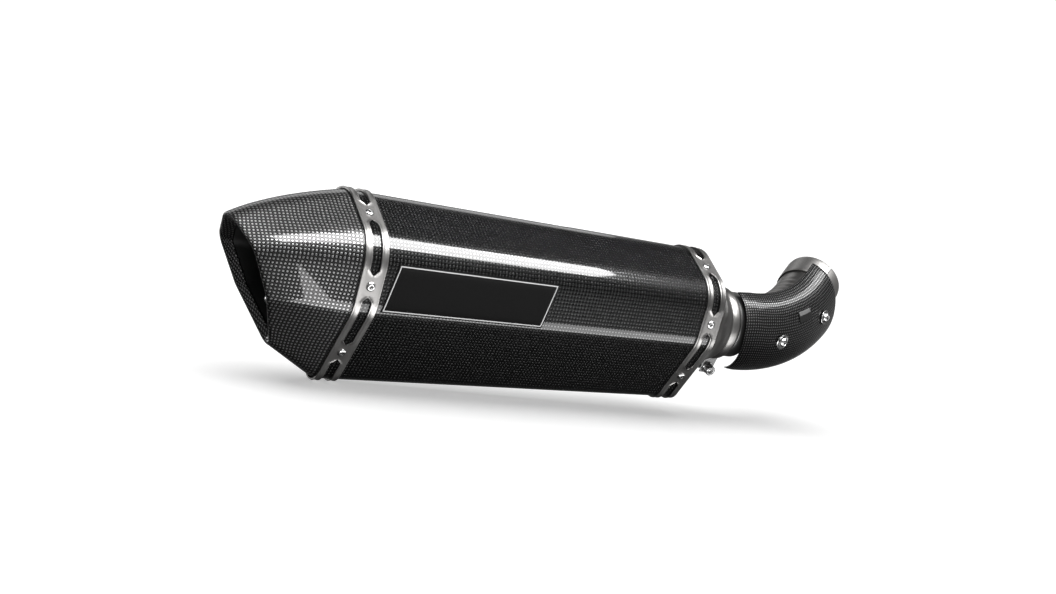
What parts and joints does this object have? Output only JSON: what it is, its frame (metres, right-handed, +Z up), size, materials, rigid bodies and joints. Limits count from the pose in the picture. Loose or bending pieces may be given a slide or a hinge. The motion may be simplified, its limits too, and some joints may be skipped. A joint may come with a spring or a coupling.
{
  "type": "motorcycle exhaust muffler",
  "caption": "Tapered six-sided carbon slip-on muffler with slash-cut end cap, riveted straps, inlet clamp, and a bent link pipe under a carbon heat shield.",
  "frame": {"origin": "centre of the link pipe's slip-on mouth, where the exhaust header goes in", "axes": "+X along the muffler's gas axis from the outlet to the inlet; +Z up; -Y is the side that faces outwards on the motorcycle"},
  "size_m": [0.6768, 0.1287, 0.1664],
  "materials": {
    "carbon": "glossy clear-coated plain-weave carbon laminate",
    "titanium": "satin titanium sheet",
    "pipe_titanium": "matt blasted titanium tube",
    "fastener": "bright polished stainless steel",
    "clamp_steel": "satin stainless steel",
    "black_metal": "matt heat-black coating",
    "core_steel": "plain stainless sheet",
    "wool": "loose mineral fibre",
    "rubber": "black heat-proof rubber",
    "enamel": "gloss black printed aluminium plate"
  },
  "bodies": {
    "link_pipe": {"link_pipe": "pipe_titanium", "slip_ring": "pipe_titanium", "heat_shield": "carbon", "shield_badge": "enamel", "shield_boss_1": "pipe_titanium", "shield_grommet_1": "rubber", "shield_washer_1": "fastener", "shield_screw_1": "fastener", "shield_boss_2": "pipe_titanium", "shield_grommet_2": "rubber", "shield_washer_2": "fastener", "shield_screw_2": "fastener"},
    "clamp": {"clamp_band": "clamp_steel", "clamp_bolt": "fastener", "clamp_washer": "fastener", "clamp_nut": "fastener"},
    "muffler": {"outer_sleeve": "carbon", "rear_strap": "titanium", "end_cap": "carbon", "outlet_cup": "black_metal", "cup_screw": "fastener", "cup_nut": "core_steel", "rear_baffle": "core_steel", "front_baffle": "core_steel", "perforated_core": "core_steel", "packing_wool": "wool", "noise_damper": "black_metal", "inlet_cap": "titanium", "inlet_sleeve": "pipe_titanium", "sleeve_badge": "enamel", "rear_rivet_1": "fastener", "rear_rivet_2": "fastener", "rear_rivet_3": "fastener", "rear_rivet_4": "fastener", "rear_rivet_5": "fastener", "rear_rivet_6": "fastener", "front_rivet_1": "fastener", "front_rivet_2": "fastener", "front_rivet_3": "fastener", "front_rivet_4": "fastener", "front_rivet_5": "fastener", "front_rivet_6": "fastener"}
  },
  "joints": [
    {"name": "slip_joint_slide", "type": "slide", "parent": "link_pipe", "child": "clamp", "axis": [-1, 0, 0], "range_m": [0, 0.03]},
    {"name": "muffler_swivel", "type": "hinge", "parent": "clamp", "child": "muffler", "pos_m": [-0.14393, -0.03977, -0.05091], "axis": [1, 0, 0], "range_deg": [-15, 15]}
  ]
}
